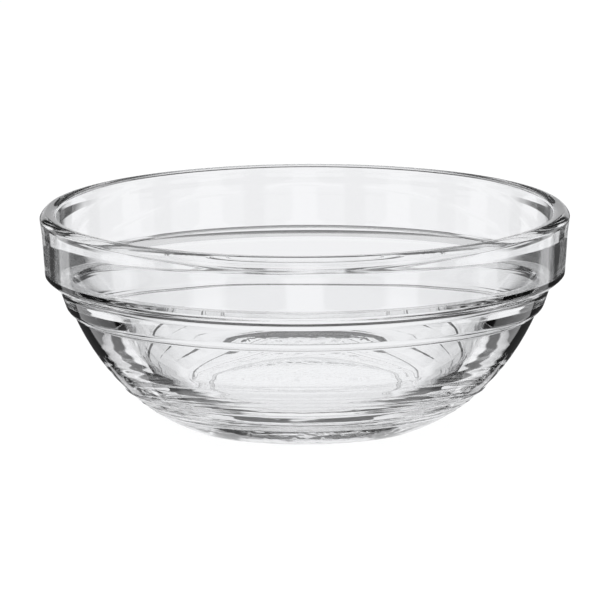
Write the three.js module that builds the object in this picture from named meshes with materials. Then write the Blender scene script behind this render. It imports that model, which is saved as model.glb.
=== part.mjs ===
// A stackable bowl, pressed in one piece of clear glass and turned about the Z axis.
// It stands on its foot at Z = 0. Sizes are in millimetres and slopes in degrees up from level.
import * as THREE from 'three';

// Overall sizes
const RIM_DIAMETER = 105;
const HEIGHT = 43;
const FOOT_DIAMETER = 45.8;

// Band: the upright collar at the top, which flares a little below its lip. The lip is a short round
// outside and a longer one inside, and its crown lies nearer to the outside.
const RIM_WALL = 3.3;
const LIP_HEIGHT = 1.4;
const LIP_CROWN = 2;
const LIP_EDGE = 1.1;
const FLARE_HEIGHT = 3;
const FLARE_OUT = 0.35;
const BAND_HEIGHT = 12.38;
const BAND_TAPER = 0.6;

// Shoulder: in a stack it rests on the lip of the bowl below, and the ring under it drops
// into that bowl's mouth with this much room all round
const STACK_CLEARANCE = 0.37;
const SHOULDER_DROP = 2.31;
const SHOULDER_SLOPE = 32;

// Ring under the shoulder, and the step at its lower edge
const RING_HEIGHT = 3.71;
const RING_SLOPE = 70.3;
const STEP_DROP = 1.8;
const STEP_IN = 1.6;
const STEP_SLOPE = 32;

// Lower wall, from the step in to the foot
const WALL_SLOPE = 66;
const FOOT_SLOPE = 20;

// Inside: the mouth narrows down to a ledge, and one smooth wall runs from there to the floor
const MOUTH_TAPER = 0.1;
const LEDGE_DEPTH = 11.85;
const LEDGE_WIDTH = 3.5;
const LEDGE_ROUND = 0.12;
const INSIDE_SLOPE = 60.5;
const FLOOR_DIAMETER = 49.2;
const FLOOR_SLOPE = 29.5;
const FLOOR_ROUND = 0.8;
const BASE_THICKNESS = 6.9;

// Underside: a flat ring to stand on, around a shallow hollow
const FOOT_RING_WIDTH = 3.2;
const HOLLOW_DEPTH = 0.5;
const HOLLOW_EDGE = 0.6;

// How far a curve keeps the slopes at its two ends, as shares of the distance between them.
// The round one makes a quarter turn close to a circle.
const ROUND_REACH = [0.39, 0.39];
const LIP_REACH = [0.2, 0.2];
const FLARE_REACH = [0.33, 0.33];
const LOWER_WALL_REACH = [0.25, 0.445];
const STEP_REACH = [0.3, 0.45];
const SHOULDER_REACH = [0.22, 0.22];
const INSIDE_REACH = [0.365, 0.42];

// Facets around the bowl and along each curve
const SEGMENTS = 64;
const LOWER_WALL_FACETS = 13;
const STEP_FACETS = 6;
const SHOULDER_FACETS = 8;
const INSIDE_FACETS = 14;
const LIP_FACETS = 4;
const SMALL_FACETS = 2;

// Slopes that follow the axes
const UP = 90;
const INWARD = 180;
const DOWN = 270;

const { degToRad, radToDeg } = THREE.MathUtils;
const point = (radius, height) => new THREE.Vector2(radius, height);
const heading = (slope) => point(Math.cos(degToRad(slope)), Math.sin(degToRad(slope)));

// Points on a smooth curve that leaves one point and reaches the next at the slopes given
function bend(from, fromSlope, to, toSlope, [fromReach, toReach], facets) {
  const span = from.distanceTo(to);
  const leave = from.clone().addScaledVector(heading(fromSlope), span * fromReach);
  const arrive = to.clone().addScaledVector(heading(toSlope), -span * toReach);
  return new THREE.CubicBezierCurve(from, leave, arrive, to).getPoints(facets);
}

// Underside and outside, from the middle of the hollow out and up to the crown of the lip
function outsidePoints(rimRadius, mouthRadius) {
  const footRadius = FOOT_DIAMETER / 2;
  const hollowRadius = footRadius - FOOT_RING_WIDTH;
  const ringRadius = mouthRadius - STACK_CLEARANCE;
  const stepRadius = ringRadius - RING_HEIGHT / Math.tan(degToRad(RING_SLOPE));
  const bandFoot = HEIGHT - BAND_HEIGHT;
  const ringTop = bandFoot - SHOULDER_DROP;
  const ringFoot = ringTop - RING_HEIGHT;

  const footEdge = point(footRadius, 0);
  const stepLow = point(stepRadius - STEP_IN, ringFoot - STEP_DROP);
  const stepHigh = point(stepRadius, ringFoot);
  const shoulderLow = point(ringRadius, ringTop);
  const flareLow = point(rimRadius - FLARE_OUT, HEIGHT - LIP_HEIGHT - FLARE_HEIGHT);
  const shoulderHigh = point(flareLow.x - BAND_TAPER, bandFoot);
  const widest = point(rimRadius, HEIGHT - LIP_HEIGHT);
  const crown = point(mouthRadius + LIP_CROWN, HEIGHT);
  const bandSlope = radToDeg(flareLow.clone().sub(shoulderHigh).angle());

  return [
    point(0, HOLLOW_DEPTH),
    point(hollowRadius - HOLLOW_EDGE, HOLLOW_DEPTH),
    point(hollowRadius, 0),
    ...bend(footEdge, FOOT_SLOPE, stepLow, WALL_SLOPE, LOWER_WALL_REACH, LOWER_WALL_FACETS),
    ...bend(stepLow, STEP_SLOPE, stepHigh, RING_SLOPE, STEP_REACH, STEP_FACETS).slice(1),
    ...bend(shoulderLow, SHOULDER_SLOPE, shoulderHigh, bandSlope, SHOULDER_REACH, SHOULDER_FACETS),
    ...bend(flareLow, bandSlope, widest, UP, FLARE_REACH, SMALL_FACETS),
    ...bend(widest, UP, crown, INWARD, LIP_REACH, LIP_FACETS).slice(1),
  ];
}

// Inside, from just past the crown of the lip down to the middle of the floor
function insidePoints(mouthRadius) {
  const ledge = HEIGHT - LEDGE_DEPTH;
  const floorRadius = FLOOR_DIAMETER / 2;
  const wallSlope = INWARD + INSIDE_SLOPE;
  const footSlope = INWARD + FLOOR_SLOPE;

  const crown = point(mouthRadius + LIP_CROWN, HEIGHT);
  const mouth = point(mouthRadius, HEIGHT - LIP_EDGE);
  const ledgeCorner = point(mouthRadius - MOUTH_TAPER, ledge + LEDGE_ROUND);
  const ledgeStart = point(ledgeCorner.x - LEDGE_ROUND, ledge);
  const ledgeEnd = point(ledgeCorner.x - LEDGE_WIDTH, ledge);
  const wallTop = point(ledgeEnd.x - LEDGE_ROUND, ledge - LEDGE_ROUND);
  const floorEdge = point(floorRadius, BASE_THICKNESS);
  const wallFoot = floorEdge.clone().addScaledVector(heading(FLOOR_SLOPE), FLOOR_ROUND);
  const floorStart = point(floorRadius - FLOOR_ROUND, BASE_THICKNESS);

  return [
    ...bend(crown, INWARD, mouth, DOWN, ROUND_REACH, LIP_FACETS).slice(1),
    ...bend(ledgeCorner, DOWN, ledgeStart, INWARD, ROUND_REACH, SMALL_FACETS),
    ...bend(ledgeEnd, INWARD, wallTop, wallSlope, ROUND_REACH, SMALL_FACETS),
    ...bend(wallTop, wallSlope, wallFoot, footSlope, INSIDE_REACH, INSIDE_FACETS).slice(1),
    ...bend(wallFoot, footSlope, floorStart, INWARD, ROUND_REACH, SMALL_FACETS).slice(1),
    point(0, BASE_THICKNESS),
  ];
}

// The glass is turned in one piece from its half section
function bowlGeometry() {
  const rimRadius = RIM_DIAMETER / 2;
  const mouthRadius = rimRadius - RIM_WALL;
  const section = [...outsidePoints(rimRadius, mouthRadius), ...insidePoints(mouthRadius)];
  return new THREE.LatheGeometry(section, SEGMENTS).rotateX(Math.PI / 2);
}

const glass = new THREE.MeshStandardMaterial({
  color: 0xe3e8e6,
  roughness: 0.04,
  metalness: 0,
  transparent: true,
  opacity: 0.35,
});

const bowl = new THREE.Mesh(bowlGeometry(), glass);
bowl.name = 'bowl';

const part = new THREE.Group();
part.add(bowl);

export default part;
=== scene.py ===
"""A stackable bowl of clear pressed glass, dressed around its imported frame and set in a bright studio."""

import math

import bpy
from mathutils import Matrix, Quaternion, Vector, noise


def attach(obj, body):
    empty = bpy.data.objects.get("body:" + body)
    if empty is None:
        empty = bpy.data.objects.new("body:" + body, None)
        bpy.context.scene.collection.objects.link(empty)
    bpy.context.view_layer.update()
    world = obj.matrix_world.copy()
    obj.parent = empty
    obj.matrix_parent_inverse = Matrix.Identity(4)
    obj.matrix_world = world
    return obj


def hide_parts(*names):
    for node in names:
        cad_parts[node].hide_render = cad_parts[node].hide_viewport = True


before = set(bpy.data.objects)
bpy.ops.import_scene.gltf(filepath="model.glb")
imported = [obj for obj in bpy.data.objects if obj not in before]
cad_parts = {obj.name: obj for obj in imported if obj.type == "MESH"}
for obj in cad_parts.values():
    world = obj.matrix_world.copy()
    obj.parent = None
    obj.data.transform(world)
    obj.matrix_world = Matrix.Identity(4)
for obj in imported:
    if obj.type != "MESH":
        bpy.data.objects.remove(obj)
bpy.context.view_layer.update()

MM = 0.001
TINY = 1e-6

# Section of the glass, in millimetres and degrees, with the same names as in the part's source
RIM_DIAMETER = 105
HEIGHT = 43
FOOT_DIAMETER = 45.8
RIM_WALL = 3.3
LIP_HEIGHT = 1.4
LIP_CROWN = 2.0
LIP_EDGE = 1.1
FLARE_HEIGHT = 3.0
FLARE_OUT = 0.35
BAND_HEIGHT = 12.38
BAND_TAPER = 0.6
STACK_CLEARANCE = 0.37
SHOULDER_DROP = 2.31
SHOULDER_SLOPE = 32
RING_HEIGHT = 3.71
RING_SLOPE = 70.3
STEP_DROP = 1.8
STEP_IN = 1.6
STEP_SLOPE = 32
WALL_SLOPE = 66
FOOT_SLOPE = 20
MOUTH_TAPER = 0.1
LEDGE_DEPTH = 11.85
LEDGE_WIDTH = 3.5
LEDGE_ROUND = 0.12
INSIDE_SLOPE = 60.5
FLOOR_DIAMETER = 49.2
FLOOR_SLOPE = 29.5
FLOOR_ROUND = 0.8
BASE_THICKNESS = 6.9
FOOT_RING_WIDTH = 3.2
HOLLOW_DEPTH = 0.5
HOLLOW_EDGE = 0.6

# Small rounds on the foot, which the solid doesn't have
FOOT_ROUND = 0.25

# How far a curve keeps the slopes at its two ends, as shares of the distance between them
ROUND_REACH = (0.39, 0.39)
LIP_REACH = (0.2, 0.2)
FLARE_REACH = (0.33, 0.33)
LOWER_WALL_REACH = (0.25, 0.445)
STEP_REACH = (0.3, 0.45)
SHOULDER_REACH = (0.22, 0.22)
INSIDE_REACH = (0.365, 0.42)

# Slopes that follow the axes
UP, INWARD, DOWN = 90, 180, 270

# Facets around the bowl, in fours so that its box is the solid's, and along each run of the section.
# A run drops its points that lie closer than the least step to the end of the run before.
SEGMENTS = 272
HOLLOW_STEPS = 3
CORNER_STEPS = 5
FOOT_RING_STEPS = 10
LOWER_WALL_STEPS = 160
STEP_STEPS = 14
SHOULDER_STEPS = 18
STRAIGHT_STEPS = 4
OUTER_LIP_STEPS = 18
INNER_LIP_STEPS = 14
MOUTH_STEPS = 10
SMALL_STEPS = 8
INSIDE_STEPS = 44
GROOVE_STEPS = 12
FLOOR_STEPS = 3
LEAST_STEP = 0.02

# Marks of the mould, in millimetres, with grains per millimetre. The foot ring has a stipple, and dimples
# under the foot fade out between two heights. A shallow groove runs around the floor. Bulges run around
# the lower wall, given as (radius, height, half width): four seams at the heel, then slow waves. The glass
# is rough at the seams, and a little uneven inside the band, where that fades in and out.
STIPPLE_DEPTH = 0.12
STIPPLE_GRAIN = 0.9
DIMPLE_DEPTH = 0.05
DIMPLE_GRAIN = 0.7
DIMPLE_FADE = (0.6, 1.0)
GROOVE_WIDTH = 0.9
GROOVE_DEPTH = 0.06
BULGES = (
    (30.9, 0.07, 0.35), (32.1, 0.05, 0.22), (33.3, 0.08, 0.22), (35.7, 0.2, 0.35),
    (38.2, 0.03, 0.6), (39.6, 0.02, 0.5), (41.0, 0.012, 0.5), (42.5, 0.01, 0.5),
)
SEAM_START = 28.9
SEAM_END = 36.3
SEAM_ROUGHNESS = 0.05
SEAM_GRAIN = 0.9
BAND_ROUGHNESS = 0.05
BAND_GRAIN = 0.08
BAND_FADE_START = 22
BAND_FADE_IN = 8
BAND_FADE_OUT = 4

# Glass: nearly colourless, with a faint grain in its polish, given per millimetre
GLASS_COLOUR = (0.985, 0.988, 0.99, 1.0)
GLASS_INDEX = 1.52
GLASS_GRAIN = 0.9
GLASS_GRAIN_RANGE = (0.3, 0.7)
GLASS_ROUGHNESS = 0.01
SHADOW_COLOUR = (0.95, 0.96, 0.955, 1.0)

# World: even light for the floor, white for the camera. The glass shows a room by direction, which is a
# bright floor, a dark room with a light overhead, and eight bright panels that stand around the bowl.
# Stops are in degrees up, each with the room's strength or with a panel's half width in degrees. A ramp
# holds values up to 1, so there the widths are shares of a full width.
LIGHT_COLOUR = (0.985, 0.987, 1.0, 1.0)
EVEN_LIGHT = 0.8
WHITE = 1.0
ROOM_LIGHT = ((-53, 0.85), (-51, 0.06), (30, 0.06), (36, 0.75))
PANEL_LIGHT = 0.95
PANEL_SPACING = 45
PANEL_FULL_WIDTH = 100
PANEL_EDGE = (-3.5, -1)
PANEL_WIDTH = (
    (-42, 0), (-40, 20), (-22, 20), (-18, 8), (-12, 8), (-10, 11),
    (-6, 11), (-5, 7), (-2.8, 7), (-2.2, 20), (12, 20), (14, 0),
)

# Studio floor and lamp, in metres and watts
STAGE_RADIUS = 4
STAGE_SIDES = 96
STAGE_COLOUR = (0.3, 0.3, 0.3, 1.0)
STAGE_GLOW = 0.72
LAMP_PLACE = (-0.3, -0.2, 1.2)
LAMP_SIZE = 0.8
LAMP_POWER = 6

# Camera, in millimetres and degrees: the photograph shows no perspective, so the view is parallel
FRAME_WIDTH = 120.7
CAMERA_DISTANCE = 1000
CAMERA_ELEVATION = 10.25
CAMERA_ROLL = -0.32
AIM = (-0.04, 0, 23.9)


def heading(slope):
    return Vector((math.cos(math.radians(slope)), math.sin(math.radians(slope))))


def point(radius, height):
    return Vector((radius, height))


def clamp(value):
    return min(max(value, 0), 1)


def bend(start, start_slope, end, end_slope, reach, steps):
    """Points on a smooth curve that leaves one point and reaches the next at the slopes given."""
    span = (end - start).length
    leave = start + heading(start_slope) * span * reach[0]
    arrive = end - heading(end_slope) * span * reach[1]
    points = []
    for i in range(steps + 1):
        t = i / steps
        s = 1 - t
        points.append(start * s**3 + leave * 3 * s * s * t + arrive * 3 * s * t * t + end * t**3)
    return points


def straight(start, end, steps):
    return [start.lerp(end, i / steps) for i in range(steps + 1)]


def rounded(before, corner, after):
    """A small round in place of a corner between two straight runs."""
    start = corner + (before - corner).normalized() * FOOT_ROUND
    end = corner + (after - corner).normalized() * FOOT_ROUND
    points = []
    for i in range(CORNER_STEPS + 1):
        t = i / CORNER_STEPS
        points.append(start * (1 - t) ** 2 + corner * 2 * t * (1 - t) + end * t * t)
    return points


def groove(start):
    """The shallow groove that runs inward from a point on the floor."""
    points = []
    for i in range(GROOVE_STEPS + 1):
        t = i / GROOVE_STEPS
        points.append(start - point(GROOVE_WIDTH * t, GROOVE_DEPTH * math.sin(math.pi * t) ** 2))
    return points


def bulged(wall):
    """The lower wall with its seams and waves, raised along its normal."""
    marked = [wall[0]]
    for before, p, after in zip(wall, wall[1:], wall[2:]):
        along = (after - before).normalized()
        height = sum(rise * math.exp(-(((p.x - radius) / width) ** 2)) for radius, rise, width in BULGES)
        marked.append(p + point(along.y, -along.x) * height)
    return marked + [wall[-1]]


def outside_runs(rim_radius, mouth_radius):
    """Underside and outside, from the middle of the hollow out and up to the crown of the lip."""
    foot_radius = FOOT_DIAMETER / 2
    hollow_radius = foot_radius - FOOT_RING_WIDTH
    ring_radius = mouth_radius - STACK_CLEARANCE
    step_radius = ring_radius - RING_HEIGHT / math.tan(math.radians(RING_SLOPE))
    band_foot = HEIGHT - BAND_HEIGHT
    ring_top = band_foot - SHOULDER_DROP
    ring_foot = ring_top - RING_HEIGHT

    hollow_middle = point(0, HOLLOW_DEPTH)
    hollow_end = point(hollow_radius - HOLLOW_EDGE, HOLLOW_DEPTH)
    ring_start = point(hollow_radius, 0)
    foot_edge = point(foot_radius, 0)
    foot_rise = foot_edge + heading(FOOT_SLOPE) * FOOT_ROUND
    step_low = point(step_radius - STEP_IN, ring_foot - STEP_DROP)
    step_high = point(step_radius, ring_foot)
    shoulder_low = point(ring_radius, ring_top)
    flare_low = point(rim_radius - FLARE_OUT, HEIGHT - LIP_HEIGHT - FLARE_HEIGHT)
    shoulder_high = point(flare_low.x - BAND_TAPER, band_foot)
    widest = point(rim_radius, HEIGHT - LIP_HEIGHT)
    crown = point(mouth_radius + LIP_CROWN, HEIGHT)
    band = flare_low - shoulder_high
    band_slope = math.degrees(math.atan2(band.y, band.x))

    hollow_round = rounded(hollow_middle, hollow_end, ring_start)
    ring_round = rounded(hollow_end, ring_start, foot_edge)
    foot_round = rounded(ring_start, foot_edge, foot_rise)
    lower_wall = bend(foot_edge, FOOT_SLOPE, step_low, WALL_SLOPE, LOWER_WALL_REACH, LOWER_WALL_STEPS)
    return [
        straight(hollow_middle, hollow_round[0], HOLLOW_STEPS),
        hollow_round,
        ring_round,
        straight(ring_round[-1], foot_round[0], FOOT_RING_STEPS),
        foot_round,
        bulged(lower_wall)[1:],
        bend(step_low, STEP_SLOPE, step_high, RING_SLOPE, STEP_REACH, STEP_STEPS),
        straight(step_high, shoulder_low, STRAIGHT_STEPS),
        bend(shoulder_low, SHOULDER_SLOPE, shoulder_high, band_slope, SHOULDER_REACH, SHOULDER_STEPS),
        straight(shoulder_high, flare_low, STRAIGHT_STEPS),
        bend(flare_low, band_slope, widest, UP, FLARE_REACH, SMALL_STEPS),
        bend(widest, UP, crown, INWARD, LIP_REACH, OUTER_LIP_STEPS),
    ]


def inside_runs(mouth_radius):
    """Inside, from the crown of the lip down to the middle of the floor."""
    ledge = HEIGHT - LEDGE_DEPTH
    wall_slope = INWARD + INSIDE_SLOPE
    foot_slope = INWARD + FLOOR_SLOPE

    crown = point(mouth_radius + LIP_CROWN, HEIGHT)
    mouth = point(mouth_radius, HEIGHT - LIP_EDGE)
    ledge_corner = point(mouth_radius - MOUTH_TAPER, ledge + LEDGE_ROUND)
    ledge_start = point(ledge_corner.x - LEDGE_ROUND, ledge)
    ledge_end = point(ledge_corner.x - LEDGE_WIDTH, ledge)
    wall_top = point(ledge_end.x - LEDGE_ROUND, ledge - LEDGE_ROUND)
    floor_edge = point(FLOOR_DIAMETER / 2, BASE_THICKNESS)
    wall_foot = floor_edge + heading(FLOOR_SLOPE) * FLOOR_ROUND
    floor_start = point(floor_edge.x - FLOOR_ROUND, BASE_THICKNESS)
    groove_end = floor_start - point(GROOVE_WIDTH, 0)
    floor_middle = point(0, BASE_THICKNESS)

    return [
        bend(crown, INWARD, mouth, DOWN, ROUND_REACH, INNER_LIP_STEPS),
        straight(mouth, ledge_corner, MOUTH_STEPS),
        bend(ledge_corner, DOWN, ledge_start, INWARD, ROUND_REACH, SMALL_STEPS),
        straight(ledge_start, ledge_end, STRAIGHT_STEPS),
        bend(ledge_end, INWARD, wall_top, wall_slope, ROUND_REACH, SMALL_STEPS),
        bend(wall_top, wall_slope, wall_foot, foot_slope, INSIDE_REACH, INSIDE_STEPS),
        bend(wall_foot, foot_slope, floor_start, INWARD, ROUND_REACH, SMALL_STEPS),
        groove(floor_start),
        straight(groove_end, floor_middle, FLOOR_STEPS),
    ]


def bowl_section():
    """The half section as one line of points, from the middle of the hollow to the middle of the floor."""
    rim_radius = RIM_DIAMETER / 2
    mouth_radius = rim_radius - RIM_WALL
    section = [point(0, HOLLOW_DEPTH)]
    for run in outside_runs(rim_radius, mouth_radius) + inside_runs(mouth_radius):
        section += [p for p in run if (p - section[-1]).length > LEAST_STEP]
    return section


def unevenness(p, angle, inside):
    """How far the glass stands out or in at a place, at the seams and inside the band."""
    place = Vector((p.x * math.cos(angle), p.x * math.sin(angle), p.y))
    if inside:
        band = clamp((p.y - BAND_FADE_START) / BAND_FADE_IN) * clamp((HEIGHT - p.y) / BAND_FADE_OUT)
        return BAND_ROUGHNESS * band * noise.noise(place * BAND_GRAIN)
    if not SEAM_START < p.x < SEAM_END:
        return 0
    return SEAM_ROUGHNESS * noise.noise(place * SEAM_GRAIN)


def stipple(radius, angle):
    """Height of the stipple at a place on the foot ring, never below the surface that it stands on."""
    across = (FOOT_DIAMETER / 2 - radius) / FOOT_RING_WIDTH
    if not 0 < across < 1:
        return 0
    place = Vector((radius * math.cos(angle), radius * math.sin(angle), 0))
    return STIPPLE_DEPTH * math.sin(math.pi * across) * abs(noise.noise(place * STIPPLE_GRAIN))


def ring_vertices(p, inside):
    """A point of the section turned about the Z axis, in metres: a ring, or one vertex on the axis."""
    if p.x < TINY:
        return [(0, 0, p.y * MM)]
    ring = []
    for k in range(SEGMENTS):
        angle = math.tau * k / SEGMENTS
        radius = p.x + unevenness(p, angle, inside)
        height = p.y + (stipple(p.x, angle) if p.y < TINY else 0)
        ring.append((radius * MM * math.cos(angle), radius * MM * math.sin(angle), height * MM))
    return ring


def lathe(name, section):
    """One closed mesh from the section, whose points past the crown of the lip are inside."""
    vertices, rings = [], []
    inside = False
    for p in section:
        inside = inside or p.y > HEIGHT - TINY
        ring = ring_vertices(p, inside)
        rings.append(range(len(vertices), len(vertices) + len(ring)))
        vertices += ring
    faces = []
    for low, high in zip(rings, rings[1:]):
        for k in range(SEGMENTS):
            m = (k + 1) % SEGMENTS
            if len(low) == 1:
                faces.append((low[0], high[m], high[k]))
            elif len(high) == 1:
                faces.append((low[k], low[m], high[0]))
            else:
                faces.append((low[k], low[m], high[m], high[k]))
    mesh = bpy.data.meshes.new(name)
    mesh.from_pydata(vertices, [], faces)
    mesh.shade_smooth()
    piece = bpy.data.objects.new(name, mesh)
    bpy.context.scene.collection.objects.link(piece)
    return piece


def add_node(tree, kind, settings=None, **inputs):
    """A shader node with its settings, and its inputs set to values or linked to sockets.

    An input goes by its name, or by its number after an underscore.
    """
    node = tree.nodes.new(kind)
    for key, value in (settings or {}).items():
        setattr(node, key, value)
    for key, value in inputs.items():
        socket = node.inputs[int(key[1:])] if key[0] == "_" else node.inputs[key.replace("_", " ")]
        if isinstance(value, bpy.types.NodeSocket):
            tree.links.new(value, socket)
        else:
            socket.default_value = value
    return node


def math_node(tree, operation, *values):
    inputs = {f"_{i}": value for i, value in enumerate(values)}
    return add_node(tree, "ShaderNodeMath", {"operation": operation}, **inputs).outputs[0]


def fade(tree, value, low, high):
    """1 below the first value, 0 above the second, smooth between."""
    return add_node(
        tree, "ShaderNodeMapRange", {"interpolation_type": "SMOOTHSTEP"},
        Value=value, From_Min=low, From_Max=high, To_Min=1.0, To_Max=0.0,
    ).outputs[0]


def empty_tree(owner):
    """The node tree of a material or world, with nothing in it."""
    owner.use_nodes = True
    owner.node_tree.nodes.clear()
    return owner.node_tree


def glass_material():
    material = bpy.data.materials.new("clear_glass")
    tree = empty_tree(material)
    place = add_node(tree, "ShaderNodeTexCoord").outputs["Object"]
    grain = add_node(tree, "ShaderNodeTexNoise", Vector=place, Scale=GLASS_GRAIN / MM, Detail=2.0)
    grain_low, grain_high = GLASS_GRAIN_RANGE
    rough = add_node(
        tree, "ShaderNodeMapRange", Value=grain.outputs[0],
        From_Min=grain_low, From_Max=grain_high, To_Min=0.0, To_Max=GLASS_ROUGHNESS,
    )
    height = add_node(tree, "ShaderNodeSeparateXYZ", Vector=place).outputs["Z"]
    under_foot = fade(tree, height, *(limit * MM for limit in DIMPLE_FADE))
    dimples = add_node(tree, "ShaderNodeTexNoise", Vector=place, Scale=DIMPLE_GRAIN / MM, Detail=1.0)
    relief = math_node(tree, "MULTIPLY", dimples.outputs[0], under_foot)
    bump = add_node(tree, "ShaderNodeBump", Distance=DIMPLE_DEPTH * MM, Height=relief)
    shader = add_node(
        tree, "ShaderNodeBsdfPrincipled", Base_Color=GLASS_COLOUR, Roughness=rough.outputs[0],
        IOR=GLASS_INDEX, Transmission_Weight=1.0, Normal=bump.outputs[0],
    )
    see_through = add_node(tree, "ShaderNodeBsdfTransparent", Color=SHADOW_COLOUR)
    shadow = add_node(tree, "ShaderNodeLightPath").outputs["Is Shadow Ray"]
    mix = add_node(tree, "ShaderNodeMixShader", _0=shadow, _1=shader.outputs[0], _2=see_through.outputs[0])
    add_node(tree, "ShaderNodeOutputMaterial", Surface=mix.outputs[0])
    return material


def by_elevation(tree, elevation, stops):
    """A value that changes with the elevation of a ray, from (degrees, value) stops."""
    place = add_node(
        tree, "ShaderNodeMapRange", Value=elevation, From_Min=-math.pi / 2, From_Max=math.pi / 2,
    ).outputs[0]
    ramp = add_node(tree, "ShaderNodeValToRGB", Fac=place)
    elements = ramp.color_ramp.elements
    while len(elements) < len(stops):
        elements.new(0.5)
    for element, (degrees, value) in zip(elements, stops):
        element.position = (degrees + 90) / 180
        element.color = (value, value, value, 1.0)
    return ramp.outputs[0]


def panels(tree, elevation, azimuth):
    """1 on the bright panels around the bowl and 0 between them."""
    widths = [(degrees, width / PANEL_FULL_WIDTH) for degrees, width in PANEL_WIDTH]
    aside = math_node(tree, "PINGPONG", azimuth, math.radians(PANEL_SPACING / 2))
    share = math_node(tree, "DIVIDE", aside, math.radians(PANEL_FULL_WIDTH))
    past_edge = math_node(tree, "SUBTRACT", share, by_elevation(tree, elevation, widths))
    return fade(tree, past_edge, *(edge / PANEL_FULL_WIDTH for edge in PANEL_EDGE))


def studio_world():
    world = bpy.data.worlds.new("studio")
    bpy.context.scene.world = world
    tree = empty_tree(world)
    direction = add_node(tree, "ShaderNodeTexCoord").outputs["Generated"]
    axes = add_node(tree, "ShaderNodeSeparateXYZ", Vector=direction).outputs
    elevation = math_node(tree, "ARCSINE", axes["Z"])
    azimuth = math_node(tree, "ARCTAN2", axes["Y"], axes["X"])
    room = add_node(
        tree, "ShaderNodeMapRange", Value=panels(tree, elevation, azimuth),
        To_Min=by_elevation(tree, elevation, ROOM_LIGHT), To_Max=PANEL_LIGHT,
    ).outputs[0]
    path = add_node(tree, "ShaderNodeLightPath").outputs
    by_glass = math_node(tree, "MAXIMUM", path["Is Glossy Ray"], path["Is Transmission Ray"])
    lit = add_node(tree, "ShaderNodeMix", Factor=by_glass, _2=EVEN_LIGHT, _3=room).outputs[0]
    strength = add_node(tree, "ShaderNodeMix", Factor=path["Is Camera Ray"], _2=lit, _3=WHITE).outputs[0]
    background = add_node(tree, "ShaderNodeBackground", Color=LIGHT_COLOUR, Strength=strength)
    add_node(tree, "ShaderNodeOutputWorld", Surface=background.outputs[0])


def studio_floor():
    """A pale floor that takes the bowl's shadow. The glass shows the world's floor in its place."""
    bpy.ops.mesh.primitive_circle_add(vertices=STAGE_SIDES, radius=STAGE_RADIUS, fill_type="NGON")
    floor = bpy.context.object
    floor.name = "floor"
    material = bpy.data.materials.new("pale_floor")
    tree = empty_tree(material)
    matte = add_node(tree, "ShaderNodeBsdfDiffuse", Color=STAGE_COLOUR)
    glow = add_node(tree, "ShaderNodeEmission", Strength=STAGE_GLOW)
    pale = add_node(tree, "ShaderNodeAddShader", _0=matte.outputs[0], _1=glow.outputs[0])
    add_node(tree, "ShaderNodeOutputMaterial", Surface=pale.outputs[0])
    floor.data.materials.append(material)
    floor.visible_glossy = False
    floor.visible_transmission = False


def studio_lamp():
    data = bpy.data.lights.new("softbox", "AREA")
    data.shape = "DISK"
    data.size = LAMP_SIZE
    data.energy = LAMP_POWER
    lamp = bpy.data.objects.new("softbox", data)
    lamp.location = LAMP_PLACE
    lamp.rotation_mode = "QUATERNION"
    lamp.rotation_quaternion = (-Vector(LAMP_PLACE)).to_track_quat("-Z", "Y")
    lamp.visible_glossy = False
    lamp.visible_transmission = False
    lamp.visible_camera = False
    bpy.context.scene.collection.objects.link(lamp)


def studio_camera():
    data = bpy.data.cameras.new("camera")
    data.type = "ORTHO"
    data.ortho_scale = FRAME_WIDTH * MM
    camera = bpy.data.objects.new("camera", data)
    tilt = math.radians(CAMERA_ELEVATION)
    back = Vector((0, -math.cos(tilt), math.sin(tilt)))
    camera.location = (Vector(AIM) + back * CAMERA_DISTANCE) * MM
    camera.rotation_mode = "QUATERNION"
    roll = Quaternion((0, 0, 1), math.radians(CAMERA_ROLL))
    camera.rotation_quaternion = (-back).to_track_quat("-Z", "Y") @ roll
    bpy.context.scene.collection.objects.link(camera)
    bpy.context.scene.camera = camera


bowl = lathe("glass_bowl", bowl_section())
bowl.data.materials.append(glass_material())
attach(bowl, "root")
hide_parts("bowl")

studio_world()
studio_floor()
studio_lamp()
studio_camera()

# Light crosses several walls of glass and is mirrored inside them, so a ray may bounce often
scene = bpy.context.scene
scene.view_settings.view_transform = "Standard"
scene.cycles.max_bounces = 18
scene.cycles.glossy_bounces = 11
scene.cycles.transmission_bounces = 12
scene.cycles.blur_glossy = 0
